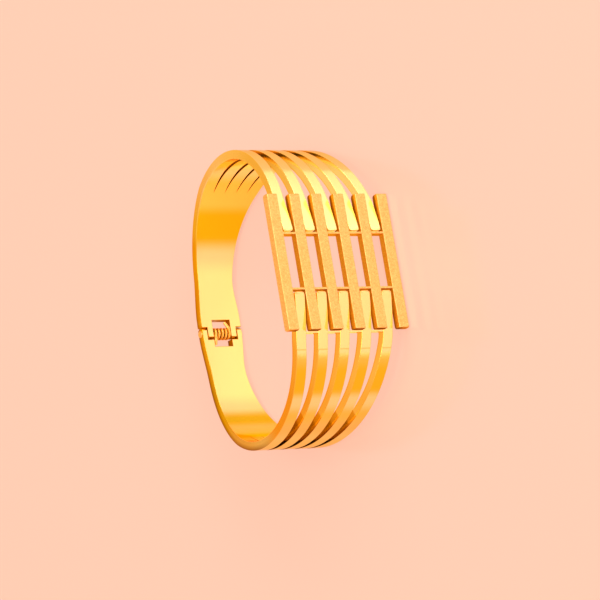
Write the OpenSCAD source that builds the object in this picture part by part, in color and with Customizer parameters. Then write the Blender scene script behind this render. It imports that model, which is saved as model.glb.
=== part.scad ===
// Hinged oval bangle: two bands that fork into fingers and meet in a grille of flat bars.
// The bands are drawn round the wrist axis (Z) with the straight back at +Y, and the grille
// with its bars along X. laid_down() then rests them all on their side at z = 0.

/* [Wrist opening] */
// Inside length of the oval, across the wrist
inner_l = 58.7; // [57:0.1:61]
// Inside radius of the two round ends
end_r = 22.9; // [22:0.05:23.5]
// Inside radius of the gentle curve at the front
front_r = 45; // [44:1:60]
// Thickness of the bands and of the bars
band_t = 1.85; // [1.8:0.05:2]

/* [Bands] */
// Number of fingers on each band
fingers = 5; // [3:1:5]
// Band width over the hinge
hinge_w = 9.6; // [9.4:0.1:10]
// Narrowest band width, a little way from the hinge
waist_w = 8.4; // [8.2:0.1:8.8]
// Band width where the slits begin
fork_w = 13.7; // [13.2:0.1:14]
// Angle round the end, from the hinge side, where the slits begin
fork_a = 60; // [50:1:70]
// Width of a finger at the front
finger_w = 2.3; // [2:0.05:2.35]
// Spacing of the lower fingers
lower_pitch = 5.18; // [5.15:0.01:5.25]
// Height of the thin tie across the lower fingers
tie_h = 0.35; // [0.3:0.05:1]
// How far the tie reaches up behind the ends of the bars
tie_rise = 0.2; // [0.1:0.05:0.3]
// Thickness of the tie
tie_t = 0.8; // [0.6:0.1:1.2]
// Depth of the tie below the face of the fingers
tie_sunk = 0.1; // [0.1:0.05:0.6]
// Corner radius of the fingertips
tip_r = 0.5; // [0.3:0.1:0.8]

/* [Grille] */
// Length of a bar
bar_l = 28.5; // [27:0.1:29]
// Middle of the bars, along the grille from the middle of the oval
bar_x = 0.7; // [0:0.05:1]
// Angle of the grille to the oval
lean = 1.5; // [0:0.1:2]
// Width of a bar
bar_w = 2.35; // [2.2:0.05:2.4]
// Spacing of the bars and of the upper fingers
bar_pitch = 5.25; // [5.25:0.01:5.35]
// How far the bars stand proud of the fingertips
bar_proud = 0.2; // [0.05:0.05:0.4]
// Radius of the front corners at the ends of a bar
bar_end_r = 0.3; // [0.3:0.1:0.8]
// Middle of the windows, along the grille from the middle of the oval
window_x = 0.8; // [0.3:0.05:1]
// Clear height of the windows between the two cross rails
window_h = 11.2; // [10:0.1:12]
// Height of each cross rail
rail_h = 0.4; // [0.4:0.05:0.7]
// Gap between a cross rail and the fingertips
tip_gap = 0.35; // [0.2:0.05:0.5]

/* [Hinge] */
// Place of the pin along the straight back, from its middle
pin_x = -1.3; // [-2:0.05:0]
// Diameter of the pin
pin_d = 1.1; // [1:0.05:1.2]
// Running clearance of the pin in its bores, on the radius
pin_fit = 0.04; // [0.03:0.01:0.08]
// Diameter of the flat heads of the pin
head_d = 1.45; // [1.4:0.05:1.6]
// Height of each head
head_h = 0.2; // [0.1:0.05:0.3]
// Clear width between the two inner knuckles
bay_w = 4.3; // [4.2:0.1:4.5]
// Clear height of the spring bay on each side of the pin
bay_h = 2.85; // [2.6:0.05:3]
// Width of each inner knuckle
inner_knuckle_w = 1.35; // [1.2:0.05:1.4]
// Reach of the knuckles past the pin
knuckle_r = 1.2; // [1:0.05:1.3]
// Clearance beside and before each knuckle
knuckle_gap = 0.15; // [0.12:0.01:0.2]
// Wire diameter of the spring
wire_d = 0.65; // [0.5:0.05:0.7]
// Mean radius of the spring's turns
coil_r = 1; // [0.9:0.05:1]
// Number of turns
coils = 4; // [3:1:5]

/* [Hidden] */
$fn = 64;

// Outline of the oval: a straight back, two round ends and a gently curved front
half_t = band_t / 2;
mid_r = end_r + half_t;
end_c = inner_l / 2 - end_r;
front_a = asin(end_c / (front_r - end_r));
end_a = 180 - front_a;
front_cy = (front_r - end_r) * cos(front_a);
pin_y = end_r + half_t;

// Grille: bars in one plane, two rails, and the fingertips that stop just short of them
side_bar_z = fingers / 2 * bar_pitch;
upper_tip_x = window_x + window_h / 2 + rail_h + tip_gap;
lower_tip_x = window_h / 2 - window_x + rail_h + tip_gap;
tip_reach = lower_tip_x + front_cy * sin(lean);
bar_y = front_cy * cos(lean) - sqrt(pow(front_r + band_t, 2) - pow(tip_reach, 2)) - bar_proud;
tie_x = bar_l / 2 - bar_x - tie_rise;

// Distances along the middle of a band, from the middle of the back
s_flare = 1.5;
s_waist = 10;
s_fork = end_c + mid_r * fork_a * PI / 180;
s_bars = end_c + mid_r * (180 - asin((bar_l / 2 - end_c) / mid_r)) * PI / 180;
s_front = end_c + mid_r * end_a * PI / 180;
widen = 1.4;

// Heights of the knuckles from the middle of the pin
inner_z1 = bay_w / 2 + inner_knuckle_w;
outer_z0 = inner_z1 + knuckle_gap;

// Overshoot of the cutting shapes, lap of the knuckles into their plates, and the height
// of the uncut oval
over = 1;
lap = 0.1;
tall = 32;
step = 3;

// Rest on the side: on the lowest bar's inner edge and on the head of the pin
bar_rest = [bar_y + band_t, -side_bar_z - bar_w / 2];
pin_rest = [pin_y * cos(lean) - pin_x * sin(lean) + head_d / 2, -hinge_w / 2 - head_h];
tilt = atan((pin_rest[1] - bar_rest[1]) / (pin_rest[0] - bar_rest[0]));
lift = bar_rest[0] * sin(tilt) - bar_rest[1] * cos(tilt);

// Point of the oval at distance s along the band and height r above its inner face
function turn(s) = (s - end_c) / mid_r * 180 / PI;
function bow(s) = end_a + (s - s_front) / (front_r + half_t) * 180 / PI;
function on_oval(s, r) =
    s < end_c ? [s, end_r + r]
    : s < s_front ? [end_c + (end_r + r) * sin(turn(s)), (end_r + r) * cos(turn(s))]
    : [(front_r + r) * sin(bow(s)), front_cy + (front_r + r) * cos(bow(s))];

// Distance along the band of a place x on the front curve
function s_at(x) =
    s_front + (front_r + half_t) * (180 - asin(x / (front_r + half_t)) - end_a) * PI / 180;

function part_of(s, a, b) = min(max((s - a) / (b - a), 0), 1);
function mix(a, b, t) = a + (b - a) * t;
function eased(t) = t * t * (3 - 2 * t);

// Spacing and width of the fingers, fanned out from the fork to the bars
function pitch(s, p_end) = mix(fork_w / fingers, p_end, part_of(s, s_fork, s_bars));
function finger(s) = mix(fork_w / fingers, finger_w, part_of(s, s_fork, s_bars));

// Half the width of the whole band
function half_w(s, p_end) =
    s < s_waist ? mix(hinge_w, waist_w, eased(part_of(s, s_flare, s_waist))) / 2
    : s < s_fork ? mix(waist_w, fork_w, pow(part_of(s, s_waist, s_fork), widen)) / 2
    : ((fingers - 1) * pitch(s, p_end) + finger(s)) / 2;

function stations(s0, s1) =
    let (n = ceil((s1 - s0) / step)) [for (k = [0 : n]) mix(s0, s1, k / n)];

// Cutting strip that follows the oval: rows holds [s, lowest z, highest z]
module strip(rows) {
    last = 4 * (len(rows) - 1);
    corners = [
        for (q = rows)
            for (c = [[-over, q[1]], [-over, q[2]], [band_t + over, q[2]], [band_t + over, q[1]]])
                concat(on_oval(q[0], c[0]), [c[1]])
    ];
    sides = [
        for (i = [0 : 4 : last - 4])
            for (k = [0 : 3])
                let (a = i + k, b = i + (k + 1) % 4)
                    each [[a, b, b + 4], [a, b + 4, a + 4]]
    ];
    caps = [[0, 3, 2, 1], [last, last + 1, last + 2, last + 3]];
    polyhedron(corners, concat(caps, sides), convexity = 6);
}

// Filled outline of half the oval at height r above its inner face, as overlapping shapes
// that end just short of their tangent points
module half_oval(r) {
    short = 0.2;
    translate([end_c, 0]) circle(r = end_r + r, $fn = 180);
    square([end_c - short, end_r + r]);
    intersection() {
        translate([0, front_cy]) circle(r = front_r + r, $fn = 360);
        translate([0, -2 * end_r]) square([(front_r + r) * sin(front_a) - short, 2 * end_r]);
    }
}

// Half of the oval as a wall of full height, from x0 at the back to the middle of the front
module oval_wall(x0) {
    translate([0, 0, -tall / 2])
        linear_extrude(tall)
            difference() {
                half_oval(band_t);
                half_oval(0);
                translate([-2 * end_r, -2 * end_r]) square([2 * end_r, 4 * end_r]);
                translate([-over, 0]) square([x0 + over, 2 * end_r]);
            }
}

// Everything beside the band's outline, on both sides
module beside(x0, p_end) {
    rows = stations(x0 - over, s_at(0));
    for (m = [0, 1])
        mirror([0, 0, m])
            strip([for (s = rows) [s, half_w(max(s, 0), p_end), tall]]);
}

// The slits between the fingers, from a fine point at the fork
module slits(p_end) {
    point = 0.03;
    rows = stations(s_fork, s_at(0));
    for (i = [0 : fingers - 2])
        strip([
            for (s = rows)
                let (z = (i + 1 - fingers / 2) * pitch(s, p_end), g = pitch(s, p_end) - finger(s))
                    [s, z - max(g, point) / 2, z + max(g, point) / 2]
        ]);
}

// Rounds the two corners of each fingertip
module tip_corners(x, p_end) {
    for (i = [0 : fingers - 1])
        for (m = [0, 1])
            translate([x, -front_r, (i - (fingers - 1) / 2) * p_end])
                mirror([0, 0, m])
                    translate([tip_r, 0, finger_w / 2 - tip_r])
                        difference() {
                            translate([-tip_r - over, 0, 0])
                                cube([tip_r + over, front_r, tip_r + over / 4]);
                            rotate([-90, 0, 0]) cylinder(r = tip_r, h = front_r);
                        }
}

// One band, forked and cut to its outline, from x0 at the back to its fingertips, which
// end square to a grille at the angle a
module forked_band(x0, p_end, tip_x, a) {
    difference() {
        oval_wall(x0);
        beside(x0, p_end);
        slits(p_end);
        rotate(a) {
            translate([-2 * over, -2 * end_r, -tall / 2])
                cube([tip_x + 2 * over, 2 * end_r, tall]);
            tip_corners(tip_x, p_end);
        }
    }
}

// A pair of knuckles between heights z0 and z1 on each side of the middle, reaching
// from the plate at x1 to past the pin, with their ends rounded about it
module knuckles(px, x1, z0, z1) {
    for (m = [0, 1])
        mirror([0, 0, m])
            translate([px, end_r, z0]) {
                cube([x1 - px, band_t, z1 - z0]);
                intersection() {
                    translate([0, half_t, 0]) cylinder(r = knuckle_r, h = z1 - z0);
                    translate([-2 * knuckle_r, 0, 0]) cube([2 * knuckle_r + over, band_t, z1 - z0]);
                }
            }
}

module pin_bore(px) {
    translate([px, pin_y, -tall / 2]) cylinder(r = pin_d / 2 + pin_fit, h = tall);
}

// Room for the spring, cut into the end of a plate
module spring_bay(px) {
    translate([px - over, end_r - over, -bay_w / 2]) cube([bay_h + over, band_t + 2 * over, bay_w]);
}

// Thin tie that joins the lower fingers just under the ends of the bars
module tie(a) {
    z1 = (fingers - 1) / 2 * lower_pitch;
    intersection() {
        translate([end_c, 0, -z1])
            rotate(-90)
                rotate_extrude(angle = 90)
                    translate([end_r + band_t - tie_sunk - tie_t, 0]) square([tie_t, 2 * z1]);
        rotate(a) translate([tie_x, -2 * end_r, -z1]) cube([tie_h, 2 * end_r, 2 * z1]);
    }
}

module upper_band() {
    plate_x = pin_x + knuckle_r + knuckle_gap;
    color("#f2b54a")
        in_oval()
            difference() {
                union() {
                    forked_band(plate_x, bar_pitch, upper_tip_x, lean);
                    knuckles(pin_x, plate_x + lap, bay_w / 2, inner_z1);
                }
                spring_bay(pin_x);
                pin_bore(pin_x);
            }
}

// The lower band is drawn as the upper one is, and then mirrored to the other side
module lower_band() {
    plate_x = -pin_x + knuckle_r + knuckle_gap;
    color("#f2b54a")
        in_oval()
            mirror([1, 0, 0])
                difference() {
                    union() {
                        forked_band(plate_x, lower_pitch, lower_tip_x, -lean);
                        knuckles(-pin_x, plate_x + lap, outer_z0, hinge_w / 2);
                        tie(-lean);
                    }
                    spring_bay(-pin_x);
                    pin_bore(-pin_x);
                }
}

// Side view of a bar, rounded at the two front corners and square at the inner face
module bar_profile() {
    x1 = bar_l / 2 - bar_end_r;
    translate([-x1, 0]) square([2 * x1, band_t]);
    translate([-bar_l / 2, bar_end_r]) square([bar_l, band_t - bar_end_r]);
    for (x = [-x1, x1])
        translate([x, bar_end_r]) circle(r = bar_end_r);
}

module grille() {
    color("#e8b860")
        translate([0, bar_y, 0]) {
            for (i = [0 : fingers])
                translate([bar_x, 0, (i - fingers / 2) * bar_pitch - bar_w / 2])
                    linear_extrude(bar_w) bar_profile();
            for (x = [window_x + window_h / 2, window_x - window_h / 2 - rail_h])
                translate([x, 0, -side_bar_z]) cube([rail_h, band_t, 2 * side_bar_z]);
        }
}

module hinge_pin() {
    color("#d9a441")
        in_oval()
            translate([pin_x, pin_y, 0]) {
                cylinder(d = pin_d, h = hinge_w, center = true);
                for (m = [0, 1])
                    mirror([0, 0, m])
                        translate([0, 0, hinge_w / 2]) cylinder(d = head_d, h = head_h);
            }
}

// The spring's wire runs from a leg in the lower bay, round the pin, to a leg in the upper bay
module hinge_spring() {
    per_turn = 14;
    sides = 6;
    rise = (bay_w - wire_d - 2 * knuckle_gap) / coils;
    top = coils * rise / 2;
    reach = bay_h - wire_d / 2 - 0.1;
    aside = 0.5;
    ring_n = coils * per_turn;
    legs_in = [[-reach, -wire_d / 2, top], [-reach / 2, -coil_r * 0.8, top]];
    helix = [
        for (k = [0 : ring_n])
            let (a = -90 + 360 * k / per_turn)
                [coil_r * cos(a), coil_r * sin(a), top - rise * k / per_turn]
    ];
    legs_out = [[reach / 2, -coil_r * 0.8, -top], [reach, -wire_d / 2, aside - top]];
    path = concat(legs_in, helix, legs_out);
    color("#b8843a") in_oval() translate([pin_x, pin_y, 0]) wire(path, wire_d / 2, sides);
}

// Wire of radius r swept along a path that never runs along Z
module wire(path, r, sides) {
    n = len(path);
    rings = [
        for (i = [0 : n - 1])
            let (
                t = path[min(i + 1, n - 1)] - path[max(i - 1, 0)],
                across = cross(t, [0, 0, 1]) / norm(cross(t, [0, 0, 1])),
                up = cross(across, t) / norm(t)
            )
            for (k = [0 : sides - 1])
                path[i] + r * (across * cos(360 * k / sides) + up * sin(360 * k / sides))
    ];
    skin = [
        for (i = [0 : n - 2])
            for (k = [0 : sides - 1])
                let (a = i * sides + k, b = i * sides + (k + 1) % sides)
                    each [[a, b, b + sides], [a, b + sides, a + sides]]
    ];
    ends = [
        [for (k = [sides - 1 : -1 : 0]) k],
        [for (k = [0 : sides - 1]) (n - 1) * sides + k]
    ];
    polyhedron(rings, concat(ends, skin), convexity = 10);
}

// Turns the oval to its angle against the grille
module in_oval() {
    rotate(-lean) children();
}

module laid_down() {
    translate([0, lift * tan(tilt), lift]) rotate([-tilt, 0, 0]) children();
}

laid_down() upper_band();
laid_down() lower_band();
laid_down() grille();
laid_down() hinge_pin();
laid_down() hinge_spring();
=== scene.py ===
"""Looks of a hinged gold bangle: two bands fork into fingers that meet in a grille of bars."""
import math

import bmesh
import bpy
from mathutils import Matrix, Vector

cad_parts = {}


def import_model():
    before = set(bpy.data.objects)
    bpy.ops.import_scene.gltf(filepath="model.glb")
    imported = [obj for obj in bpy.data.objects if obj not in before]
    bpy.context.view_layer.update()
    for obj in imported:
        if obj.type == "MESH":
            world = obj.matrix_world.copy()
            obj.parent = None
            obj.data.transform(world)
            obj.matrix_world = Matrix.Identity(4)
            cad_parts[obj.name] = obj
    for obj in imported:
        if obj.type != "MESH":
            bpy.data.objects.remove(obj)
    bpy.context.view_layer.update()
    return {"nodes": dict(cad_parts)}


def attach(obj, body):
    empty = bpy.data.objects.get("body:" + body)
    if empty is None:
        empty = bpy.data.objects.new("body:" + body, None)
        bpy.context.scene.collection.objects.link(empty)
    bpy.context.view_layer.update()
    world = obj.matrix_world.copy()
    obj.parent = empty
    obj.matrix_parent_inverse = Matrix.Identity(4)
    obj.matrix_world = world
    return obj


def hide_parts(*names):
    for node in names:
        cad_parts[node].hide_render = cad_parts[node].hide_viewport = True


MM = 0.001

# Oval of the wrist opening
INNER_LENGTH = 58.7 * MM
END_RADIUS = 22.9 * MM
FRONT_RADIUS = 45 * MM
BAND_THICK = 1.85 * MM

# Bands and their fingers
FINGERS = 5
HINGE_WIDTH = 9.6 * MM
WAIST_WIDTH = 8.4 * MM
FORK_WIDTH = 13.7 * MM
FORK_ANGLE = math.radians(60)
FINGER_WIDTH = 2.3 * MM
LOWER_PITCH = 5.18 * MM
TIE_HEIGHT = 0.35 * MM
TIE_RISE = 0.2 * MM
TIE_THICK = 0.8 * MM
TIE_SUNK = 0.1 * MM
TIP_CORNER = 0.5 * MM
FLARE_PLACE = 1.5 * MM
WAIST_PLACE = 10 * MM
WIDENING = 1.4

# Grille of bars
BAR_LENGTH = 28.5 * MM
BAR_MIDDLE = 0.7 * MM
LEAN = math.radians(1.5)
BAR_WIDTH = 2.35 * MM
BAR_PITCH = 5.25 * MM
BAR_PROUD = 0.2 * MM
BAR_CORNER = 0.3 * MM
BAR_INNER_CORNER = 0.6 * MM
WINDOW_MIDDLE = 0.8 * MM
WINDOW_HEIGHT = 11.2 * MM
RAIL_HEIGHT = 0.4 * MM
TIP_GAP = 0.35 * MM

# Hinge
PIN_PLACE = -1.3 * MM
BAY_WIDTH = 4.3 * MM
BAY_HEIGHT = 2.85 * MM
INNER_KNUCKLE = 1.35 * MM
INNER_COLUMNS = (1, 3)
OUTER_COLUMNS = (0, 4)
KNUCKLE_REACH = 1.2 * MM
KNUCKLE_GAP = 0.15 * MM
WIRE_RADIUS = 0.325 * MM
COIL_RADIUS = 1 * MM
COILS = 4
LEG_CLEAR = 0.1 * MM
LEG_ASIDE = 0.5 * MM
LEG_BEND = 0.8

# Rest on the side
TILT = math.radians(10.9106)
LIFT = 9.5613 * MM

# Rounded edges, laps, and how finely the shapes are divided
EDGE_ROUND = 0.09 * MM
BAR_EDGE_ROUND = 0.12 * MM
RAIL_LAP = 0.3 * MM
TIE_LAP = 0.2 * MM
STATION_STEP = 1.1 * MM
EDGE_STEPS = 3
SIDE_STEPS = 4
TIP_STEPS = 4
BAR_CORNER_STEPS = 6
TURN_STEPS = 28
WIRE_SIDES = 14
HALVINGS = 50
LONGEST_MITRE = 1.6
SHARPEST_CORNER = 0.02
MERGE_REACH = 1e-7
TINY = 1e-9

# Tones of gold, as linear light; those from GOLD to BRIGHT_GOLD are also the stops of the
# painted reflections and painted shade along the bands
GOLD = (1.0, 0.66, 0.26)
AMBER_GOLD = (1.0, 0.52, 0.22)
COPPER_GOLD = (1.0, 0.37, 0.11)
DUSK_GOLD = (0.54, 0.31, 0.02)
PALE_GOLD = (1.0, 0.88, 0.38)
WARM_GOLD = (1.0, 0.7, 0.12)
DEEP_GOLD = (1.0, 0.64, 0.028)
RICH_GOLD = (1.0, 0.33, 0.004)
RUST_GOLD = (1.0, 0.42, 0.06)
MELLOW_GOLD = (1.0, 0.7, 0.21)
BRIGHT_GOLD = (1.0, 0.98, 0.48)
SEAM_GOLD = (0.85, 0.5, 0.13)
MIRRORED_GOLD = (1.0, 0.8, 0.34)
WIRE_GOLD = (0.9, 0.5, 0.15)
BLASTED_DARK = (0.8, 0.45, 0.12)
BLASTED_LIGHT = (1.0, 0.69, 0.27)
POLISHED_GLANCE = (1.0, 0.72, 0.36)
SATIN_GLANCE = (1.0, 0.6, 0.25)

# Tones of the bands' edges, as painted reflections and painted shade
EDGE_AMBER = (0.95, 0.58, 0.11)
EDGE_COPPER = (0.93, 0.51, 0.08)
EDGE_SAND = (0.84, 0.72, 0.42)
EDGE_BUFF = (0.82, 0.6, 0.26)
EDGE_OCHRE = (0.78, 0.56, 0.03)
EDGE_BRONZE = (0.65, 0.44, 0.03)
EDGE_RUST = (0.77, 0.41, 0.02)
EDGE_RICH = (0.86, 0.49, 0.02)
EDGE_HONEY = (0.9, 0.68, 0.1)
EDGE_PALE = (0.97, 0.8, 0.5)
EDGE_CREAM = (1.0, 0.92, 0.7)
EDGE_LEMON = (1.0, 0.92, 0.5)
EDGE_GOLD = (0.93, 0.78, 0.28)

# Painted reflections and painted shade along the bands, from the lower tips to the upper tips,
# as (distance in mm from the middle of the back, tone): of the faces, of the edges, and the
# painted shade that the edges are multiplied by at their outer rim
NO_SHADE = (1, 1, 1)
RIM_DARK = (0.4, 0.27, 0.3)
# painted reflections and painted shade on the faces
PAINTED_LIGHT = (
    (-71, GOLD),
    (-69.8, WARM_GOLD),
    (-67, DEEP_GOLD),
    (-63, DEEP_GOLD),
    (-61, PALE_GOLD),
    (-60, PALE_GOLD),
    (-57, WARM_GOLD),
    (-53, MELLOW_GOLD),
    (-48, PALE_GOLD),
    (-44, BRIGHT_GOLD),
    (-38, BRIGHT_GOLD),
    (-35, AMBER_GOLD),
    (-31.5, RICH_GOLD),
    (-28.5, COPPER_GOLD),
    (-26.5, COPPER_GOLD),
    (-24, DUSK_GOLD),
    (-22.5, DUSK_GOLD),
    (-19.5, AMBER_GOLD),
    (-15, GOLD),
    (11, GOLD),
    (16, AMBER_GOLD),
    (20, RICH_GOLD),
    (25, RICH_GOLD),
    (28.5, RUST_GOLD),
    (34, RUST_GOLD),
    (39.5, AMBER_GOLD),
    (43, MELLOW_GOLD),
    (46, PALE_GOLD),
    (50, PALE_GOLD),
    (56, BRIGHT_GOLD),
    (63, PALE_GOLD),
    (70, PALE_GOLD),
)
# painted reflections and painted shade on the edges
EDGE_PAINTED_LIGHT = (
    (-66, EDGE_AMBER),
    (-60, EDGE_COPPER),
    (-52, EDGE_COPPER),
    (-44, EDGE_SAND),
    (-34, EDGE_BUFF),
    (-22, EDGE_OCHRE),
    (-15, EDGE_BRONZE),
    (-8, EDGE_RUST),
    (8, EDGE_RUST),
    (17, EDGE_RICH),
    (22, EDGE_HONEY),
    (33, EDGE_PALE),
    (40, EDGE_CREAM),
    (48, EDGE_LEMON),
    (60, EDGE_GOLD),
)
RIM_SHADE = ((-50, NO_SHADE), (-40, RIM_DARK), (-3, RIM_DARK), (12, NO_SHADE))
# Height in the band, as a share of its thickness, from which the rim's shade grows
RIM_START = 0.4
# Reach of these tables to each side of the middle, in mm
PAINTED_LIGHT_LENGTH = 90
# Thin seam across the lower fingers, just below the bars
SEAM_PLACE = -71.6 * MM
SEAM_WIDTH = 0.25 * MM

# Painted shade in the hollows, as (share of the depth, colour the tone is multiplied by)
HOLLOW_SHADE = (
    (0, NO_SHADE),
    (0.05, (0.82, 0.62, 0.2)),
    (0.6, (0.64, 0.45, 0.14)),
    (0.8, (0.4, 0.25, 0.05)),
    (1, (0.27, 0.16, 0.03)),
)
# Share of that depth at the walls of the slits, as (distance past the fork, share)
UPPER_SLIT_SHADE = (
    (0, 0.78),
    (9 * MM, 0.82),
    (13 * MM, 0.65),
    (18 * MM, 0.45),
    (22 * MM, 0.06),
    (27 * MM, 0.03),
    (32 * MM, 0),
)
LOWER_SLIT_SHADE = (
    (0, 0.85),
    (1 * MM, 0.4),
    (5 * MM, 0.5),
    (14 * MM, 1),
    (20 * MM, 1),
    (21.6 * MM, 0.87),
    (23 * MM, 0.35),
    (24.5 * MM, 0),
)
# The same at the inner face of a bar's sides, the most of it beside a window, and the same in
# the hinge and on the rails
SIDE_SHADE = 1.6
WINDOW_SHADE = 0.2
HINGE_SHADE = 0.75
RAIL_SHADE = 0.4
# A rail's face has a normal that points forwards past this
RAIL_FRONT = -0.5
# The outer side of an end bar starts this share of the bar's width past its middle
END_SIDE = 0.25
# The spring's wire is lit past the first of these, as shares of its radius, and darkest below
# the second
WIRE_LIT = 0.95
WIRE_DARK = 0.1

# Roughness, from the glossiest places to the dullest, and the surface's small unevenness
POLISHED_GLOSS = (0.09, 0.16)
PIN_GLOSS = (0.12, 0.22)
WIRE_GLOSS = (0.3, 0.4)
MARK_RANGE = (0.3, 0.7)
GRAIN_RANGE = (0.35, 0.65)
GRAIN_SHARE = 0.6
WAVE_DEPTH = 0.002 * MM
GRAIN_DEPTH = 0.03 * MM

# Floor, and the card that lies on it
FLOOR_SIZE = 3
FLOOR_COLOUR = (0.3, 0.16, 0.13)
FLOOR_GLOW = (0.62, 0.38, 0.3)
CARD_SIDES = 48
CARD_REACH = (0.0305, 0.0246)
CARD_MIDDLE = (0, 0.002, 0.0002)
CARD_FADE = 0.96
CARD_GLOW = 0.35
CARD_COLOUR = (0.9, 0.88, 0.84)

# Light of the room, as (height, colour), and softboxes that face the bangle, as (name, place,
# size, power)
ROOM_WALL = (0.25, (1.25, 0.68, 0.21))
ROOM_TOP = (0.45, (1.35, 0.95, 0.65))
ROOM_STRENGTH = 0.8
SOFTBOXES = (
    ("front softbox", (-0.03, -0.547, 0.244), (0.75, 0.24), 1.8),
    ("side softbox", (0.45, -0.30, 0.26), (0.55, 0.28), 1.8),
    ("overhead softbox", (0, 0.0, 0.6), (0.3, 0.3), 1.0),
)

# Camera, whose up runs along the bangle as it lies on its side
CAMERA_PLACE = (-0.180515, -0.547320, 0.531116)
CAMERA_LOOK = (0.230714, 0.701180, -0.674625)
CAMERA_UP = (0.959635, -0.278583, 0.038635)
CAMERA_LENS = 225.6
CAMERA_SENSOR = 36
CAMERA_CLIP = (0.01, 20)

# Places worked out from the sizes above
HALF_THICK = BAND_THICK / 2
MIDDLE_RADIUS = END_RADIUS + HALF_THICK
END_CENTRE = INNER_LENGTH / 2 - END_RADIUS
FRONT_TURN = math.asin(END_CENTRE / (FRONT_RADIUS - END_RADIUS))
END_TURN = math.pi - FRONT_TURN
FRONT_CENTRE = (FRONT_RADIUS - END_RADIUS) * math.cos(FRONT_TURN)
FORK_PLACE = END_CENTRE + MIDDLE_RADIUS * FORK_ANGLE
BARS_PLACE = END_CENTRE + MIDDLE_RADIUS * (
    math.pi - math.asin((BAR_LENGTH / 2 - END_CENTRE) / MIDDLE_RADIUS)
)
FRONT_PLACE = END_CENTRE + MIDDLE_RADIUS * END_TURN
UPPER_TIP = WINDOW_MIDDLE + WINDOW_HEIGHT / 2 + RAIL_HEIGHT + TIP_GAP
LOWER_TIP = WINDOW_HEIGHT / 2 - WINDOW_MIDDLE + RAIL_HEIGHT + TIP_GAP
TIP_REACH = LOWER_TIP + FRONT_CENTRE * math.sin(LEAN)
BAR_FACE = (
    FRONT_CENTRE * math.cos(LEAN)
    - math.sqrt((FRONT_RADIUS + BAND_THICK) ** 2 - TIP_REACH**2)
    - BAR_PROUD
)
TIE_PLACE = BAR_LENGTH / 2 - BAR_MIDDLE - TIE_RISE


# Flat outline of a band: s runs along the middle of the band from the middle of the back,
# z across it
def part_of(s, a, b):
    """Share of the way from a to b at which s lies."""
    return min(max((s - a) / (b - a), 0), 1)


def mix(a, b, t):
    return a + (b - a) * t


def eased(t):
    """The same share, with a soft start and end."""
    return t * t * (3 - 2 * t)


def shade_at(place, table):
    """Value at a place, from (place, value) pairs in order."""
    for (start, low), (end, high) in zip(table, table[1:]):
        if place < end:
            return mix(low, high, part_of(place, start, end))
    return table[-1][1]


def pitch_at(s, end_pitch):
    """Spacing of the fingers, which fan out from the fork to the bars."""
    return mix(FORK_WIDTH / FINGERS, end_pitch, part_of(s, FORK_PLACE, BARS_PLACE))


def finger_at(s):
    """Width of one finger."""
    return mix(FORK_WIDTH / FINGERS, FINGER_WIDTH, part_of(s, FORK_PLACE, BARS_PLACE))


def half_width(s):
    """Half the width of a band between its hinge and its fork."""
    if s < WAIST_PLACE:
        return mix(HINGE_WIDTH, WAIST_WIDTH, eased(part_of(s, FLARE_PLACE, WAIST_PLACE))) / 2
    return mix(WAIST_WIDTH, FORK_WIDTH, part_of(s, WAIST_PLACE, FORK_PLACE) ** WIDENING) / 2


def on_oval(s, r):
    """Point of the oval at distance s along the band and height r above its inner face."""
    if s < END_CENTRE:
        return s, END_RADIUS + r
    if s < FRONT_PLACE:
        turn = (s - END_CENTRE) / MIDDLE_RADIUS
        return (
            END_CENTRE + (END_RADIUS + r) * math.sin(turn),
            (END_RADIUS + r) * math.cos(turn),
        )
    bow = END_TURN + (s - FRONT_PLACE) / (FRONT_RADIUS + HALF_THICK)
    return (
        (FRONT_RADIUS + r) * math.sin(bow),
        FRONT_CENTRE + (FRONT_RADIUS + r) * math.cos(bow),
    )


def place_of(x, lean, r):
    """Distance s at which the band, at height r, crosses the plane x of the grille."""
    low, high = END_CENTRE + MIDDLE_RADIUS * math.pi / 2, FRONT_PLACE + FRONT_TURN * FRONT_RADIUS
    for _ in range(HALVINGS):
        s = (low + high) / 2
        px, py = on_oval(s, r)
        if px * math.cos(lean) + py * math.sin(lean) > x:
            low = s
        else:
            high = s
    return low


# Flat blanks: outlines with a rounded edge all round, before they are bent
def finish_mesh(name, vertices, faces, marks):
    """Smooth mesh whose points carry the marks, as lists of values by name."""
    mesh = bpy.data.meshes.new(name)
    mesh.from_pydata(vertices, [], faces)
    for mark, values in marks.items():
        mesh.attributes.new(mark, "FLOAT", "POINT").data.foreach_set("value", values)
    shell = bmesh.new()
    shell.from_mesh(mesh)
    bmesh.ops.remove_doubles(shell, verts=shell.verts, dist=MERGE_REACH)
    bmesh.ops.dissolve_degenerate(shell, edges=shell.edges, dist=MERGE_REACH)
    shell.to_mesh(mesh)
    shell.free()
    mesh.polygons.foreach_set("use_smooth", [True] * len(mesh.polygons))
    return mesh


def inward(corners, before, here, after):
    """Direction and length that moves a corner of an outline inwards by one unit."""
    n1, n2 = (
        Vector((a[1] - b[1], b[0] - a[0])).normalized()
        for a, b in (
            (corners[before], corners[here]),
            (corners[here], corners[after]),
        )
    )
    way = (n1 + n2) / max(1 + n1.dot(n2), SHARPEST_CORNER)
    return way if way.length < LONGEST_MITRE else way.normalized() * LONGEST_MITRE


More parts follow.
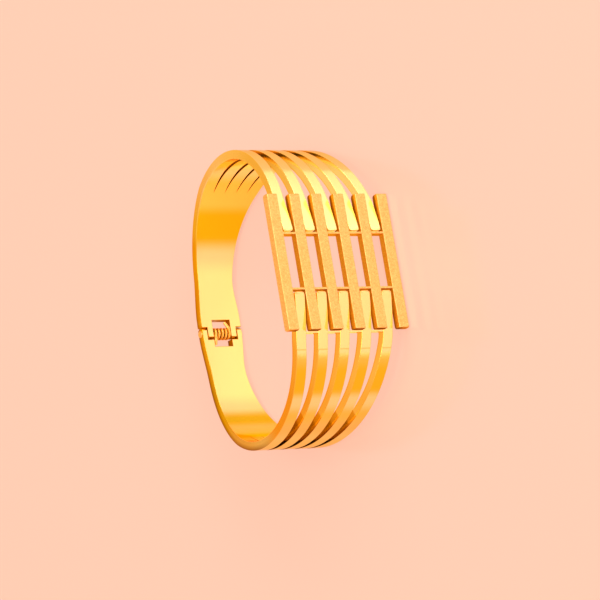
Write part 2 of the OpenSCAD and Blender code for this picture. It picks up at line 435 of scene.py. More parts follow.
def rounded_blank(
    name, corners, cells, thick, edge, slide=None, rim_hollow=None, face_hollow=None
):
    """Solid from flat cells with the given corners: its rim is rounded by edge at both faces.
    slide(corner, height) moves a corner of the rim along s at each height; rim_hollow(corner)
    and face_hollow(corner) tell how deep in a hollow the rim and the two faces lie there."""
    sides = dict.fromkeys(side for cell in cells for side in zip(cell, cell[1:] + cell[:1]))
    rim = {a: b for a, b in sides if (b, a) not in sides}
    back = {b: a for a, b in rim.items()}
    rings = [
        (edge * (1 - math.sin(t)), edge * (1 - math.cos(t)))
        for t in (math.pi / 2 * k / EDGE_STEPS for k in range(EDGE_STEPS + 1))
    ]
    shares = [k / SIDE_STEPS for k in range(1, SIDE_STEPS)] if slide else []
    middle = [(0, mix(edge, thick - edge, share)) for share in shares]
    rings += middle + [(inset, thick - height) for inset, height in reversed(rings)]
    last = len(rings) - 1
    vertices, number, hollow, edges, heights = [], {}, [], [], []

    def add(key, place):
        corner, ring = key
        depth = face_hollow if ring in (0, last) else rim_hollow
        number[key] = len(vertices)
        vertices.append(place)
        hollow.append(depth(corner) if depth else 0.0)
        edges.append(float(ring not in (0, last)))
        heights.append(place[1] / thick)

    for i, (s, z) in enumerate(corners):
        if i in rim:
            way = inward(corners, back[i], i, rim[i])
            for k, (inset, height) in enumerate(rings):
                extra = slide(i, height) if slide else 0
                add((i, k), (s + way.x * inset + extra, height, z + way.y * inset))
        else:
            add((i, 0), (s, 0, z))
            add((i, last), (s, thick, z))
    faces = [[number[i, 0] for i in cell] for cell in cells]
    faces += [[number[i, last] for i in reversed(cell)] for cell in cells]
    for a, b in rim.items():
        for k in range(last):
            faces.append([number[b, k], number[a, k], number[a, k + 1], number[b, k + 1]])
    marks = {"hollow": hollow, "edge": edges, "height": heights}
    return finish_mesh(name, vertices, faces, marks)


def stations(start, end):
    """Places from start to end, about one step apart."""
    n = max(1, math.ceil((end - start) / STATION_STEP))
    return [mix(start, end, k / n) for k in range(n + 1)]


def band_blank(name, pin, knuckle_columns, knuckle_side, end_pitch, tip, lean, slit_shade):
    """Flat blank of one band: five columns that start as the hinge's plate and knuckles, run
    together to the fork, and go on as fingers. pin is the place of the pin, tip of the tips."""
    knuckle_end = pin - KNUCKLE_REACH
    plate = pin + KNUCKLE_REACH + KNUCKLE_GAP
    bay_end = pin + BAY_HEIGHT
    tip_place = place_of(tip, lean, HALF_THICK)
    hinge_lines = (-knuckle_side, -BAY_WIDTH / 2, BAY_WIDTH / 2, knuckle_side)
    starts = [
        knuckle_end if c in knuckle_columns else bay_end if c == FINGERS // 2 else plate
        for c in range(FINGERS)
    ]
    places = sorted({knuckle_end, pin, plate, bay_end})
    places += stations(bay_end, FORK_PLACE)[1:]
    places += stations(FORK_PLACE, tip_place - TIP_CORNER)[1:]

    def line(j, s, side):
        """z of line j between the columns; past the fork each line has two sides."""
        if s > FORK_PLACE + TINY:
            middle = (j + (side - 1) / 2 - FINGERS / 2 + 0.5) * pitch_at(s, end_pitch)
            return middle - side * finger_at(s) / 2
        half = half_width(max(s, 0))
        if j in (0, FINGERS):
            return half if j else -half
        fifth = half * (2 * j / FINGERS - 1)
        return mix(hinge_lines[j - 1], fifth, eased(part_of(s, bay_end, WAIST_PLACE)))

    corners, key, hollow = [], {}, {}

    def corner(j, k, side):
        s = places[k]
        forked = s > FORK_PLACE + TINY
        name_of = (j, k, side if forked else 0)
        if name_of not in key:
            key[name_of] = len(corners)
            if j not in (0, FINGERS):
                hollow[len(corners)] = (
                    HINGE_SHADE if s < bay_end + TINY else shade_at(s - FORK_PLACE, slit_shade)
                )
            corners.append((s, line(j, s, side)))
        return key[name_of]

    cells, ends, tips = [], set(), set()
    for c in range(FINGERS):
        for k in range(len(places) - 1):
            if places[k] < starts[c] - TINY:
                continue
            cell = [corner(c, k, 1), corner(c, k + 1, 1)]
            cell += [corner(c + 1, k + 1, -1), corner(c + 1, k, -1)]
            if places[k] == knuckle_end:
                ends |= {cell[0], cell[3]}
            cells.append(cell)
        low, high = corner(c, len(places) - 1, 1), corner(c + 1, len(places) - 1, -1)
        near, far = corners[low][1] + TIP_CORNER, corners[high][1] - TIP_CORNER
        turns = [math.pi / 2 * (q / TIP_STEPS) for q in range(1, TIP_STEPS + 1)]
        round_tip = [low]
        for side, z, quarter in ((-1, near, turns), (1, far, turns[::-1])):
            for turn in quarter:
                round_tip.append(len(corners))
                corners.append(
                    (
                        tip_place - TIP_CORNER + TIP_CORNER * math.sin(turn),
                        z + side * TIP_CORNER * math.cos(turn),
                    )
                )
        round_tip.append(high)
        tips |= set(round_tip)
        cells.append(round_tip)

    def slide(i, height):
        if i in ends:
            return KNUCKLE_REACH - math.sqrt(KNUCKLE_REACH**2 - (height - HALF_THICK) ** 2)
        if i in tips:
            return place_of(tip, lean, height) - tip_place
        return 0

    return rounded_blank(
        name,
        corners,
        cells,
        BAND_THICK,
        EDGE_ROUND,
        slide,
        rim_hollow=lambda i: hollow.get(i, 0.0),
    )


class Wiring:
    """Adds nodes to a tree and joins them, for shapes and for finishes alike."""

    def __init__(self, tree):
        self.tree = tree

    def node(self, kind, settings=None, **inputs):
        made = self.tree.nodes.new(kind)
        for name, value in (settings or {}).items():
            setattr(made, name, value)
        for name, value in inputs.items():
            self.feed(made.inputs[name.replace("_", " ")], value)
        return made

    def feed(self, socket, value):
        if isinstance(value, bpy.types.NodeSocket):
            self.tree.links.new(value, socket)
        else:
            socket.default_value = value

    def math(self, operation, *values):
        made = self.node("ShaderNodeMath", {"operation": operation})
        for socket, value in zip(made.inputs, values):
            self.feed(socket, value)
        return made.outputs[0]

    def vector(self, **axes):
        return self.node("ShaderNodeCombineXYZ", **axes).outputs[0]

    def axes(self, vector):
        """The X, Y and Z of a vector."""
        return self.node("ShaderNodeSeparateXYZ", Vector=vector).outputs

    def position(self):
        """The X, Y and Z of each point of a shape."""
        return self.axes(self.node("GeometryNodeInputPosition").outputs[0])

    def length(self, vector):
        made = self.node("ShaderNodeVectorMath", {"operation": "LENGTH"})
        self.feed(made.inputs[0], vector)
        return made.outputs["Value"]

    def ranged(self, value, start, end, low=0.0, high=1.0, how="LINEAR"):
        """The value, with the range from start to end carried over to low to high."""
        limits = {"From_Min": start, "From_Max": end, "To_Min": low, "To_Max": high}
        settings = {"interpolation_type": how}
        return self.node("ShaderNodeMapRange", settings, Value=value, **limits).outputs[0]

    def switch(self, kind, test, if_true, otherwise):
        made = self.node("GeometryNodeSwitch", {"input_type": kind}, Switch=test)
        self.feed(made.inputs["True"], if_true)
        self.feed(made.inputs["False"], otherwise)
        return made.outputs[0]

    def below(self, a, b, if_below, otherwise):
        """if_below where a is less than b, and otherwise the other value."""
        less = self.node("FunctionNodeCompare", {"operation": "LESS_THAN"}, A=a, B=b)
        return self.switch("FLOAT", less.outputs[0], if_below, otherwise)

    def carry(self, shape, name, value, domain="POINT"):
        """The shape with a value under that name, for its finish to read."""
        kind, settings = "GeometryNodeStoreNamedAttribute", {"domain": domain}
        return self.node(kind, settings, Geometry=shape, Name=name, Value=value).outputs[0]


def new_tree(name, kind, inputs, outputs):
    """A node group with named inputs (name: (socket type, value)) and outputs (name: type)."""
    tree = bpy.data.node_groups.new(name, kind)
    for label, (socket, value) in inputs.items():
        made = tree.interface.new_socket(label, in_out="INPUT", socket_type=socket)
        if value is not None:
            made.default_value = value
    for label, socket in outputs.items():
        tree.interface.new_socket(label, in_out="OUTPUT", socket_type=socket)
    given, out = tree.nodes.new("NodeGroupInput"), tree.nodes.new("NodeGroupOutput")
    return Wiring(tree), given.outputs, out.inputs


def measure(value):
    """Input of a node group that is a plain number."""
    return ("NodeSocketFloat", value)


def shape_tree(name, inputs):
    """A node group that takes a shape, with the inputs given, and puts out another."""
    shape = "NodeSocketGeometry"
    inputs = {"Geometry": (shape, None), **inputs}
    return new_tree(name, "GeometryNodeTree", inputs, {"Geometry": shape})


def group_node(wires, tree, **inputs):
    """Node that runs a group of shape or finish nodes."""
    kind = "GeometryNodeGroup" if tree.bl_idname == "GeometryNodeTree" else "ShaderNodeGroup"
    return wires.node(kind, {"node_tree": tree}, **inputs)


def bend_round_oval_tree():
    """Bends a flat blank, lying along X with its height in Y, round the wrist's oval."""
    wires, sizes, out = shape_tree(
        "Bend round the oval",
        {
            "End centre": measure(END_CENTRE),
            "End radius": measure(END_RADIUS),
            "End turn": measure(END_TURN),
            "Front centre": measure(FRONT_CENTRE),
            "Front radius": measure(FRONT_RADIUS),
            "Band thickness": measure(BAND_THICK),
        },
    )
    place = wires.position()
    math_, s, r = wires.math, place["X"], place["Y"]
    half = math_("MULTIPLY", sizes["Band thickness"], 0.5)
    middle = math_("ADD", sizes["End radius"], half)
    past_back = math_("SUBTRACT", s, sizes["End centre"])
    turn = math_("DIVIDE", past_back, middle)
    reach = math_("ADD", sizes["End radius"], r)
    end_x = math_("ADD", sizes["End centre"], math_("MULTIPLY", reach, math_("SINE", turn)))
    end_y = math_("MULTIPLY", reach, math_("COSINE", turn))
    end_length = math_("MULTIPLY", sizes["End turn"], middle)
    past_end = math_("SUBTRACT", past_back, end_length)
    front_middle = math_("ADD", sizes["Front radius"], half)
    bow = math_("ADD", sizes["End turn"], math_("DIVIDE", past_end, front_middle))
    front_reach = math_("ADD", sizes["Front radius"], r)
    front_x = math_("MULTIPLY", front_reach, math_("SINE", bow))
    front_y = math_(
        "ADD", sizes["Front centre"], math_("MULTIPLY", front_reach, math_("COSINE", bow))
    )
    x, y = (
        wires.below(past_back, 0.0, straight, wires.below(past_end, 0.0, end, front))
        for straight, end, front in ((s, end_x, front_x), (reach, end_y, front_y))
    )
    bent = wires.vector(X=x, Y=y, Z=place["Z"])
    moved = wires.node("GeometryNodeSetPosition", Geometry=sizes["Geometry"], Position=bent)
    wires.feed(out["Geometry"], moved.outputs[0])
    return wires.tree


def lay_on_side_tree():
    """Leans a piece of the oval against the grille, and lays the bangle on its side."""
    wires, sizes, out = shape_tree(
        "Lay on the side",
        {"Lean": measure(0.0), "Tilt": measure(TILT), "Lift": measure(LIFT)},
    )
    back = wires.math("MULTIPLY", sizes["Lift"], wires.math("TANGENT", sizes["Tilt"]))
    leant = wires.node(
        "GeometryNodeTransform",
        Geometry=sizes["Geometry"],
        Rotation=wires.vector(Z=wires.math("MULTIPLY", sizes["Lean"], -1.0)),
    )
    laid = wires.node(
        "GeometryNodeTransform",
        Geometry=leant.outputs[0],
        Rotation=wires.vector(X=wires.math("MULTIPLY", sizes["Tilt"], -1.0)),
        Translation=wires.vector(Y=back, Z=sizes["Lift"]),
    )
    wires.feed(out["Geometry"], laid.outputs[0])
    return wires.tree


def finish_tree(wires, out, shape, finish):
    """The last nodes of every piece: real geometry with its finish."""
    real = wires.node("GeometryNodeRealizeInstances", Geometry=shape)
    painted = wires.node("GeometryNodeSetMaterial", Geometry=real.outputs[0], Material=finish)
    wires.feed(out["Geometry"], painted.outputs[0])


def band_tree(bend, lay):
    """A flat band blank bent to the oval, as it is or mirrored to the other half."""
    wires, sizes, out = shape_tree(
        "Bent band",
        {"Mirrored": ("NodeSocketBool", False), "Finish": ("NodeSocketMaterial", None)},
    )
    side = wires.math("SUBTRACT", 1.0, wires.math("MULTIPLY", sizes["Mirrored"], 2.0))
    along = wires.math("MULTIPLY", wires.position()["X"], side)
    marked = wires.carry(sizes["Geometry"], "along", along)
    bent = group_node(wires, bend, Geometry=marked).outputs[0]
    other = wires.node("GeometryNodeTransform", Geometry=bent, Scale=(-1, 1, 1)).outputs[0]
    turned = wires.node("GeometryNodeFlipFaces", Mesh=other).outputs[0]
    half = wires.switch("GEOMETRY", sizes["Mirrored"], turned, bent)
    laid = group_node(wires, lay, Geometry=half, Lean=LEAN)
    finish_tree(wires, out, laid.outputs[0], sizes["Finish"])
    return wires.tree


def grille_tree(lay):
    """Bars set side by side from one bar, and short rails between them."""
    wires, sizes, out = shape_tree(
        "Grille",
        {
            "Bars": ("NodeSocketInt", FINGERS + 1),
            "Bar spacing": measure(BAR_PITCH),
            "Bar width": measure(BAR_WIDTH),
            "Bar middle": measure(BAR_MIDDLE),
            "Bar face": measure(BAR_FACE),
            "Window middle": measure(WINDOW_MIDDLE),
            "Window height": measure(WINDOW_HEIGHT),
            "Rail height": measure(RAIL_HEIGHT),
            "Rail lap": measure(RAIL_LAP),
            "Rail shade": measure(RAIL_SHADE),
            "Thickness": measure(BAND_THICK),
            "Finish": ("NodeSocketMaterial", None),
        },
    )
    math_ = wires.math
    gaps = math_("SUBTRACT", sizes["Bars"], 1.0)
    first = math_("MULTIPLY", math_("MULTIPLY", gaps, sizes["Bar spacing"]), -0.5)

    def row(count, start, shape):
        """The shape set side by side at the spacing of the bars."""
        line = wires.node(
            "GeometryNodeMeshLine",
            Count=count,
            Start_Location=start,
            Offset=wires.vector(Z=sizes["Bar spacing"]),
        ).outputs[0]
        return wires.node("GeometryNodeInstanceOnPoints", Points=line, Instance=shape).outputs[0]

    bar_start = wires.vector(X=sizes["Bar middle"], Y=sizes["Bar face"], Z=first)
    parts = [row(sizes["Bars"], bar_start, sizes["Geometry"])]
    gap = math_("SUBTRACT", sizes["Bar spacing"], sizes["Bar width"])
    rail_size = wires.vector(
        X=sizes["Rail height"], Y=sizes["Thickness"], Z=math_("ADD", gap, sizes["Rail lap"])
    )
    rail = wires.node("GeometryNodeMeshCube", Size=rail_size).outputs[0]
    # all sides of a rail but its face lie in shade
    facing = wires.axes(wires.node("GeometryNodeInputNormal").outputs[0])["Y"]
    aside = wires.node("GeometryNodeFieldOnDomain", {"domain": "FACE"})
    wires.feed(aside.inputs[0], math_("GREATER_THAN", facing, RAIL_FRONT))
    depth = math_("MULTIPLY", aside.outputs[0], sizes["Rail shade"])
    rail = wires.carry(rail, "hollow", depth, "CORNER")
    rail_y = math_("ADD", sizes["Bar face"], math_("MULTIPLY", sizes["Thickness"], 0.5))
    rail_z = math_("ADD", first, math_("MULTIPLY", sizes["Bar spacing"], 0.5))
    apart = math_("MULTIPLY", math_("ADD", sizes["Window height"], sizes["Rail height"]), 0.5)
    for side in ("ADD", "SUBTRACT"):
        rail_x = math_(side, sizes["Window middle"], apart)
        parts.append(row(gaps, wires.vector(X=rail_x, Y=rail_y, Z=rail_z), rail))
    together = wires.node("GeometryNodeJoinGeometry")
    for part in parts:
        wires.feed(together.inputs[0], part)
    real = wires.node("GeometryNodeRealizeInstances", Geometry=together.outputs[0]).outputs[0]
    # the outer sides of the two end bars face no neighbour
    past_middle = math_("MULTIPLY", sizes["Bar width"], END_SIDE)
    end_side = math_("ADD", math_("ABSOLUTE", first), past_middle)
    kept = math_("LESS_THAN", math_("ABSOLUTE", wires.position()["Z"]), end_side)
    stored = wires.node("GeometryNodeInputNamedAttribute", {"data_type": "FLOAT"}, Name="hollow")
    depth = math_("MULTIPLY", stored.outputs["Attribute"], kept)
    laid = group_node(wires, lay, Geometry=wires.carry(real, "hollow", depth, "CORNER"))
    finish_tree(wires, out, laid.outputs[0], sizes["Finish"])
    return wires.tree


def wire_tree(lay):
    """Round wire along a path, set on the pin."""
    wires, sizes, out = shape_tree(
        "Spring wire",
        {
            "Wire radius": measure(WIRE_RADIUS),
            "Wire sides": ("NodeSocketInt", WIRE_SIDES),
            "Coil radius": measure(COIL_RADIUS),
            "Pin place": measure(PIN_PLACE),
            "Pin height": measure(MIDDLE_RADIUS),
            "Finish": ("NodeSocketMaterial", None),
        },
    )
    path = wires.node("GeometryNodeMeshToCurve", Mesh=sizes["Geometry"]).outputs[0]
    ring = wires.node(
        "GeometryNodeCurvePrimitiveCircle",
        Resolution=sizes["Wire sides"],
        Radius=sizes["Wire radius"],
    ).outputs[0]
    wire = wires.node(
        "GeometryNodeCurveToMesh", Curve=path, Profile_Curve=ring, Fill_Caps=True
    ).outputs[0]
    # turns lie close together, so the wire is in the dark everywhere but at its outer side
    place = wires.position()
    from_pin = wires.length(wires.vector(X=place["X"], Y=place["Y"]))
    lit, dark = (
        wires.math(
            "ADD", sizes["Coil radius"], wires.math("MULTIPLY", sizes["Wire radius"], share)
        )
        for share in (WIRE_LIT, WIRE_DARK)
    )
    inner_side = wires.ranged(from_pin, lit, dark, how="SMOOTHSTEP")
    smooth = wires.node("GeometryNodeSetShadeSmooth", Geometry=wire).outputs[0]
    placed = wires.node(
        "GeometryNodeTransform",
        Geometry=wires.carry(smooth, "hollow", inner_side),
        Translation=wires.vector(X=sizes["Pin place"], Y=sizes["Pin height"]),
    ).outputs[0]
    laid = group_node(wires, lay, Geometry=placed, Lean=LEAN)
    finish_tree(wires, out, laid.outputs[0], sizes["Finish"])
    return wires.tree


def made_by(tree, name, blank, **inputs):
    """Runs a geometry tree on a blank and keeps the result as a plain mesh."""
    holder = bpy.data.objects.new(name, blank)
    bpy.context.scene.collection.objects.link(holder)
    maker = holder.modifiers.new("Make", "NODES")
    maker.node_group = tree
    for item in tree.interface.items_tree:
        label = item.name.replace(" ", "_")
        if item.item_type == "SOCKET" and item.in_out == "INPUT" and label in inputs:
            maker[item.identifier] = inputs[label]
    bpy.context.view_layer.update()
    made = holder.evaluated_get(bpy.context.evaluated_depsgraph_get())
    shape = bpy.data.meshes.new_from_object(made)
    holder.modifiers.remove(maker)
    holder.data = shape
    return holder


# Pieces
def even_shading(piece):
    """Keeps broad faces flat beside their rounded edges."""
    even = piece.modifiers.new("Even shading", "WEIGHTED_NORMAL")
    even.weight = 100
    even.keep_sharp = True
    return piece


def upper_band(tree, finish):
    """Upper half band, with the two inner knuckles of the hinge."""
    blank = band_blank(
        "upper blank",
        PIN_PLACE,
        INNER_COLUMNS,
        BAY_WIDTH / 2 + INNER_KNUCKLE,
        BAR_PITCH,
        UPPER_TIP,
        LEAN,
        UPPER_SLIT_SHADE,
    )
    band = made_by(tree, "polished_upper_band", blank, Finish=finish)
    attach(even_shading(band), "upper")
    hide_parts("upper_band")


# Sides of a block, by its corners in the order of x, then height, then width
BLOCK_SIDES = (
    (0, 1, 3, 2),
    (4, 6, 7, 5),
    (0, 4, 5, 1),
    (2, 3, 7, 6),
    (0, 2, 6, 4),
    (1, 5, 7, 3),
)


def tie_bars():
    """Thin tie between the lower fingers, just under the ends of the bars, as flat blanks."""
    foot = BAND_THICK - TIE_SUNK - TIE_THICK
    vertices, faces = [], []
    for gap in range(1, FINGERS):
        middle = (gap - FINGERS / 2) * LOWER_PITCH
        reach = (LOWER_PITCH - FINGER_WIDTH) / 2 + TIE_LAP
        low = len(vertices)
        vertices += [
            (place_of(x, -LEAN, r), r, middle + z)
            for x in (TIE_PLACE + TIE_HEIGHT, TIE_PLACE)
            for r in (foot, foot + TIE_THICK)
            for z in (-reach, reach)
        ]
        faces += [[low + i for i in side] for side in BLOCK_SIDES]
    return vertices, faces


def lower_band(tree, finish):
    """Lower half band, with the two outer knuckles and the tie between its fingers."""
    blank = band_blank(
        "lower blank",
        -PIN_PLACE,
        OUTER_COLUMNS,
        BAY_WIDTH / 2 + INNER_KNUCKLE + KNUCKLE_GAP,
        LOWER_PITCH,
        LOWER_TIP,
        -LEAN,
        LOWER_SLIT_SHADE,
    )
    vertices, faces = tie_bars()
    joined = bmesh.new()
    joined.from_mesh(blank)
    made = [joined.verts.new(place) for place in vertices]
    sides = [joined.faces.new([made[i] for i in face]) for face in faces]
    bmesh.ops.recalc_face_normals(joined, faces=sides)
    joined.to_mesh(blank)
    joined.free()
    band = made_by(tree, "polished_lower_band", blank, Mirrored=True, Finish=finish)
    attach(even_shading(band), "lower")
    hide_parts("lower_band")


def bar_blank():
    """One bar, drawn from its side, with rounded corners at the front and the inner face."""
    half = BAR_LENGTH / 2
    outline = []
    for side, face in ((-1, 0), (1, 0), (1, 1), (-1, 1)):
        corner = BAR_INNER_CORNER if face else BAR_CORNER
        rising = (side < 0) != bool(face)
        for k in range(BAR_CORNER_STEPS + 1):
            share = k / BAR_CORNER_STEPS
            turn = math.pi / 2 * (share if rising else 1 - share)
            deep = corner - corner * math.sin(turn)
            outline.append(
                (
                    side * (half - corner + corner * math.cos(turn)),
                    BAND_THICK - deep if face else deep,
                )
            )

    def lower_end(i):
        """The end over the lower fingers lies in shade behind the bar's face."""
        x, depth = outline[i]
        return float(x < BAR_CORNER - half and depth > EDGE_ROUND)

    mesh = rounded_blank(
        "bar blank",
        outline,
        [list(range(len(outline)))],
        BAR_WIDTH,
        BAR_EDGE_ROUND,
        rim_hollow=lower_end,
        face_hollow=lambda i: min(SIDE_SHADE * outline[i][1] / BAND_THICK, 1.0),
    )
    # the blank's height runs along the bangle's width here, so its axes are turned round
    mesh.transform(Matrix(((1, 0, 0, 0), (0, 0, 1, 0), (0, 1, 0, -BAR_WIDTH / 2), (0, 0, 0, 1))))
    mesh.flip_normals()
    return mesh


def grille(tree, finish):
    """Six flat bars and the rails between them."""
    bars = made_by(tree, "blasted_grille", bar_blank(), Finish=finish)
    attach(even_shading(bars), "upper")
    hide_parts("grille")


def spring_path():
    """Middle line of the spring: a leg in the lower bay, the turns, a leg in the upper bay."""
    rise = (BAY_WIDTH - 2 * WIRE_RADIUS - 2 * KNUCKLE_GAP) / COILS
    top = COILS * rise / 2
    reach = BAY_HEIGHT - WIRE_RADIUS - LEG_CLEAR
    bend = -COIL_RADIUS * LEG_BEND
    points = [(-reach, -WIRE_RADIUS, top), (-reach / 2, bend, top)]
    for k in range(COILS * TURN_STEPS + 1):
        turn = 2 * math.pi * k / TURN_STEPS - math.pi / 2
        x, y = COIL_RADIUS * math.cos(turn), COIL_RADIUS * math.sin(turn)
        points.append((x, y, top - rise * k / TURN_STEPS))
    return points + [(reach / 2, bend, -top), (reach, -WIRE_RADIUS, LEG_ASIDE - top)]


def hinge_spring(tree, finish):
    """Torsion spring round the pin, in the bay of the hinge."""
    points = spring_path()
    path = bpy.data.meshes.new("spring path")
    path.from_pydata(points, [(i, i + 1) for i in range(len(points) - 1)], [])
    spring = made_by(tree, "coil_spring", path, Finish=finish)
    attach(spring, "upper")
    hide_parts("hinge_spring")


def hinge_pin(frame, finish):
    """The frame's own pin, which only gets a finish."""
    pin = frame["nodes"]["hinge_pin"]
    pin.data.materials.clear()
    pin.data.materials.append(finish)


# Finishes
def surface_noise(wires, scale, detail):
    """Noise that is fixed to the piece."""
    place = wires.node("ShaderNodeTexCoord").outputs["Object"]
    return wires.node("ShaderNodeTexNoise", Vector=place, Scale=scale, Detail=detail).outputs[0]


def handled_metal_group():
    """Faint wipe marks of handled metal: uneven gloss, and a surface that isn't quite true."""
    wires, given, out = new_tree(
        "Handled metal",
        "ShaderNodeTree",
        {
            "Gloss low": measure(0.1),
            "Gloss high": measure(0.2),
            "Mark scale": measure(300.0),
            "Wave scale": measure(90.0),
            "Mark share": measure(0.3),
        },
        {"Roughness": "NodeSocketFloat", "Height": "NodeSocketFloat"},
    )
    marks = surface_noise(wires, given["Mark scale"], detail=3.0)
    waves = surface_noise(wires, given["Wave scale"], detail=1.0)
    wires.feed(
        out["Roughness"],
        wires.ranged(marks, *MARK_RANGE, given["Gloss low"], given["Gloss high"]),
    )
    wires.feed(
        out["Height"],
        wires.math("ADD", waves, wires.math("MULTIPLY", marks, given["Mark share"])),
    )
    return wires.tree


def blasted_grain_group():
    """Fine even grain of a blasted surface."""
    wires, given, out = new_tree(
        "Blasted grain",
        "ShaderNodeTree",
        {
            "Grain scale": measure(5000.0),
            "Fleck scale": measure(2200.0),
            "Dark tone": ("NodeSocketColor", (0.5, 0.3, 0.1, 1)),
            "Light tone": ("NodeSocketColor", (1, 0.8, 0.4, 1)),
        },
        {"Color": "NodeSocketColor", "Height": "NodeSocketFloat"},
    )
    grain = surface_noise(wires, given["Grain scale"], detail=2.0)
    flecks = surface_noise(wires, given["Fleck scale"], detail=3.0)
    both = wires.math(
        "ADD",
        wires.math("MULTIPLY", grain, GRAIN_SHARE),
        wires.math("MULTIPLY", flecks, 1 - GRAIN_SHARE),
    )
    share = wires.ranged(both, *GRAIN_RANGE)
    wires.feed(out["Color"], blend(wires, share, given["Dark tone"], given["Light tone"]))
    wires.feed(out["Height"], both)
    return wires.tree


def new_finish(name, **sockets):
    """Material with these sockets set, its wiring, and its surface node."""
    finish = bpy.data.materials.new(name)
    finish.use_nodes = True
    wires = Wiring(finish.node_tree)
    metal = finish.node_tree.nodes["Principled BSDF"]
    for label, value in sockets.items():
        wires.feed(metal.inputs[label.replace("_", " ")], value)
    return finish, wires, metal


def add_bump(wires, metal, height, depth):
    """Small unevenness of the surface, of that depth."""
    bump = wires.node("ShaderNodeBump", Strength=1.0, Distance=depth, Height=height)
    wires.feed(metal.inputs["Normal"], bump.outputs[0])


def shade_ramp(wires, amount, table, interpolation="LINEAR"):
    """Colour ramp from a table of (place from 0 to 1, colour)."""
    ramp = wires.node("ShaderNodeValToRGB", Fac=amount)
    ramp.color_ramp.interpolation = interpolation
    stops = ramp.color_ramp.elements
    while len(stops) < len(table):
        stops.new(1.0)
    for stop, (place, colour) in zip(stops, table):
        stop.position = place
        stop.color = (*colour, 1)
    return ramp.outputs["Color"]


# Sockets for colours on a mix node, which has others for values and vectors
MIX_COLOURS = (6, 7)
MIX_RESULT = 2


def blend(wires, share, low, high, how="MIX"):
    """Colour between two others, or where how is MULTIPLY the first one times the second."""
    made = wires.node("ShaderNodeMix", {"data_type": "RGBA", "blend_type": how}, Factor=share)
    for place, colour in zip(MIX_COLOURS, (low, high)):
        wires.feed(made.inputs[place], colour)
    return made.outputs[MIX_RESULT]


def mark(wires, name):
    """Value that the pieces' points carry under that name."""
    return wires.node("ShaderNodeAttribute", {"attribute_name": name}).outputs["Fac"]


def shaded(wires, tone, shade, amount=1.0):
    """Tone multiplied by a shade."""
    return blend(wires, amount, tone, shade, "MULTIPLY")


def painted_light_ramp(wires, share, table):
    """Colour ramp from a table of (place in mm, colour) along the bands."""
    stops = [((place / PAINTED_LIGHT_LENGTH + 1) / 2, tone) for place, tone in table]
    return shade_ramp(wires, share, stops, "EASE")


def painted_light_tone(wires):
    """Tone of gold with painted reflections and painted shade, which changes along the bands, on
    their faces and on their edges.
    """
    along = mark(wires, "along")
    share = wires.math("MULTIPLY_ADD", along, 0.5 / (PAINTED_LIGHT_LENGTH * MM), 0.5)
    faces, edges, rim = (
        painted_light_ramp(wires, share, table) for table in (PAINTED_LIGHT, EDGE_PAINTED_LIGHT, RIM_SHADE)
    )
    seam = wires.math("COMPARE", along, SEAM_PLACE, SEAM_WIDTH / 2)
    near_rim = wires.ranged(mark(wires, "height"), RIM_START, 1.0)
    return blend(
        wires,
        mark(wires, "edge"),
        blend(wires, seam, faces, (*SEAM_GOLD, 1)),
        shaded(wires, edges, rim, near_rim),
    )


def painted_hollow_shade_group():
    """Darkens a tone with painted shade in the hollows of the bangle, where metal faces metal."""
    wires, given, out = new_tree(
        "Painted hollow shade",
        "ShaderNodeTree",
        {"Tone": ("NodeSocketColor", (1, 0.7, 0.2, 1)), "Deepest": measure(1.0)},
        {"Color": "NodeSocketColor"},
    )
    depth = wires.math("MINIMUM", mark(wires, "hollow"), given["Deepest"])
    wires.feed(out["Color"], shaded(wires, given["Tone"], shade_ramp(wires, depth, HOLLOW_SHADE)))
    return wires.tree


def give_tone(wires, metal, tone):
    """Gives the metal its tone with the painted reflections and painted shade, as the camera sees
    it; what other metal mirrors keeps one plain tone.
    """
    seen = wires.node("ShaderNodeLightPath").outputs["Is Camera Ray"]
    wires.feed(metal.inputs["Base Color"], blend(wires, seen, (*MIRRORED_GOLD, 1), tone))


def polished_finish(handled, hollow, name, gloss, colour=None):
    """Polished metal; with no colour given it has the painted reflections and painted shade along
    the band.
    """
    finish, wires, metal = new_finish(name, Metallic=1.0, Specular_Tint=(*POLISHED_GLANCE, 1))
    tone = (*colour, 1) if colour else painted_light_tone(wires)
    give_tone(wires, metal, group_node(wires, hollow, Tone=tone).outputs[0])
    worn = group_node(wires, handled, Gloss_low=gloss[0], Gloss_high=gloss[1])
    wires.feed(metal.inputs["Roughness"], worn.outputs["Roughness"])
    add_bump(wires, metal, worn.outputs["Height"], WAVE_DEPTH)
    return finish


def blasted_finish(grain, hollow):
    """Blasted gold of the bars."""
    finish, wires, metal = new_finish(
        "satin gold", Metallic=1.0, Roughness=0.5, Specular_Tint=(*SATIN_GLANCE, 1)
    )
    rough = group_node(wires, grain, Dark_tone=(*BLASTED_DARK, 1), Light_tone=(*BLASTED_LIGHT, 1))
    # the sides of the bars are lit through the windows, and in the dark beside the fingertips
    along = wires.axes(wires.node("ShaderNodeTexCoord").outputs["Object"])["X"]
    from_window = wires.math("ABSOLUTE", wires.math("SUBTRACT", along, WINDOW_MIDDLE))
    in_window = wires.math("LESS_THAN", from_window, WINDOW_HEIGHT / 2)
    deepest = wires.math("MULTIPLY_ADD", in_window, WINDOW_SHADE - 1, 1.0)
    in_place = group_node(wires, hollow, Tone=rough.outputs["Color"], Deepest=deepest)
    give_tone(wires, metal, in_place.outputs[0])
    add_bump(wires, metal, rough.outputs["Height"], GRAIN_DEPTH)
    return finish


# Studio
def floor():
    """Pale glossy floor that glows a little."""
    bpy.ops.mesh.primitive_plane_add(size=FLOOR_SIZE)
    plane = bpy.context.active_object
    plane.name = "floor"
    acrylic = new_finish(
        "pale acrylic",
        Base_Color=(*FLOOR_COLOUR, 1),
        Roughness=0.15,
        Specular_IOR_Level=0.7,
        Emission_Color=(*FLOOR_GLOW, 1),
        Emission_Strength=1.0,
    )[0]
    plane.data.materials.append(acrylic)


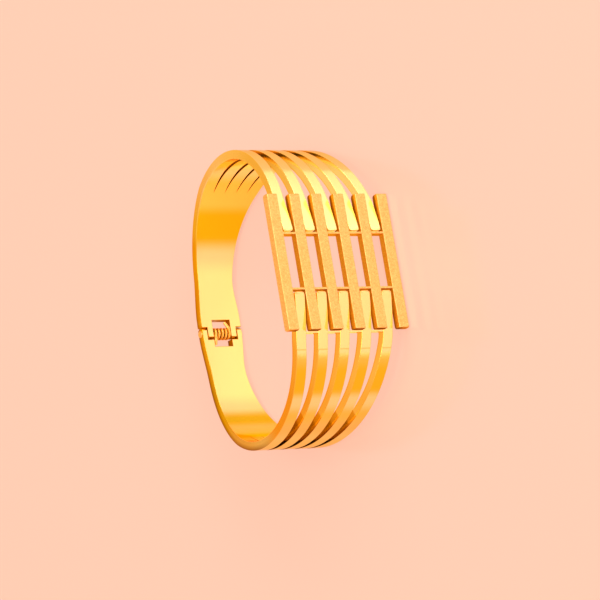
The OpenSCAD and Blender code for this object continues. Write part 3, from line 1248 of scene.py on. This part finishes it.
def white_card():
    """White card with faded edges on the floor inside the bangle, for the metal to reflect."""
    bpy.ops.mesh.primitive_circle_add(vertices=CARD_SIDES, radius=1, fill_type="NGON")
    card = bpy.context.active_object
    card.name = "white_card"
    card.data.transform(
        Matrix.Translation(CARD_MIDDLE) @ Matrix.Diagonal((*CARD_REACH, 1, 1))
    )
    paper, wires, surface = new_finish(
        "white card",
        Base_Color=(*CARD_COLOUR, 1),
        Roughness=0.9,
        Emission_Color=(1, 1, 1, 1),
        Emission_Strength=CARD_GLOW,
    )
    from_middle = wires.node(
        "ShaderNodeMapping",
        {"vector_type": "TEXTURE"},
        Vector=wires.node("ShaderNodeTexCoord").outputs["Object"],
        Location=CARD_MIDDLE,
        Scale=(*CARD_REACH, 1),
    ).outputs[0]
    fade = wires.ranged(wires.length(from_middle), 1.0, CARD_FADE, how="SMOOTHSTEP")
    wires.feed(surface.inputs["Alpha"], fade)
    card.data.materials.append(paper)
    card.visible_camera = card.visible_shadow = card.visible_diffuse = False


def room():
    """Light from all round: warm and low near the floor, white overhead."""
    world = bpy.data.worlds.new("room")
    bpy.context.scene.world = world
    world.use_nodes = True
    wires = Wiring(world.node_tree)
    height = wires.axes(wires.node("ShaderNodeTexCoord").outputs["Generated"])["Z"]
    light = world.node_tree.nodes["Background"]
    wires.feed(light.inputs["Color"], shade_ramp(wires, height, (ROOM_WALL, ROOM_TOP)))
    wires.feed(light.inputs["Strength"], ROOM_STRENGTH)


def softbox(name, place, size, power):
    """Softbox that faces the bangle."""
    lamp = bpy.data.lights.new(name, "AREA")
    lamp.shape = "RECTANGLE"
    lamp.size, lamp.size_y = size
    lamp.energy = power
    box = bpy.data.objects.new(name, lamp)
    bpy.context.scene.collection.objects.link(box)
    box.location = place
    box.rotation_euler = (Vector() - Vector(place)).to_track_quat("-Z", "Y").to_euler()
    box.visible_camera = False


def camera():
    """Long lens, turned so that the bangle, which lies on its side, stands in the picture."""
    lens = bpy.data.cameras.new("camera")
    lens.lens = CAMERA_LENS
    lens.sensor_width = CAMERA_SENSOR
    lens.clip_start, lens.clip_end = CAMERA_CLIP
    holder = bpy.data.objects.new("camera", lens)
    bpy.context.scene.collection.objects.link(holder)
    back = -Vector(CAMERA_LOOK).normalized()
    up = Vector(CAMERA_UP)
    up = (up - back * up.dot(back)).normalized()
    turn = Matrix((up.cross(back), up, back)).transposed()
    holder.matrix_world = Matrix.Translation(CAMERA_PLACE) @ turn.to_4x4()
    bpy.context.scene.camera = holder


def main():
    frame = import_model()
    bpy.context.scene.view_settings.view_transform = "Standard"
    handled, hollow = handled_metal_group(), painted_hollow_shade_group()
    polished = polished_finish(handled, hollow, "polished gold", POLISHED_GLOSS)
    satin = blasted_finish(blasted_grain_group(), hollow)
    pin = polished_finish(handled, hollow, "pin gold", PIN_GLOSS, GOLD)
    wire = polished_finish(handled, hollow, "spring wire", WIRE_GLOSS, WIRE_GOLD)
    lay = lay_on_side_tree()
    bands = band_tree(bend_round_oval_tree(), lay)
    upper_band(bands, polished)
    lower_band(bands, polished)
    grille(grille_tree(lay), satin)
    hinge_spring(wire_tree(lay), wire)
    hinge_pin(frame, pin)
    floor()
    white_card()
    room()
    for light in SOFTBOXES:
        softbox(*light)
    camera()


main()
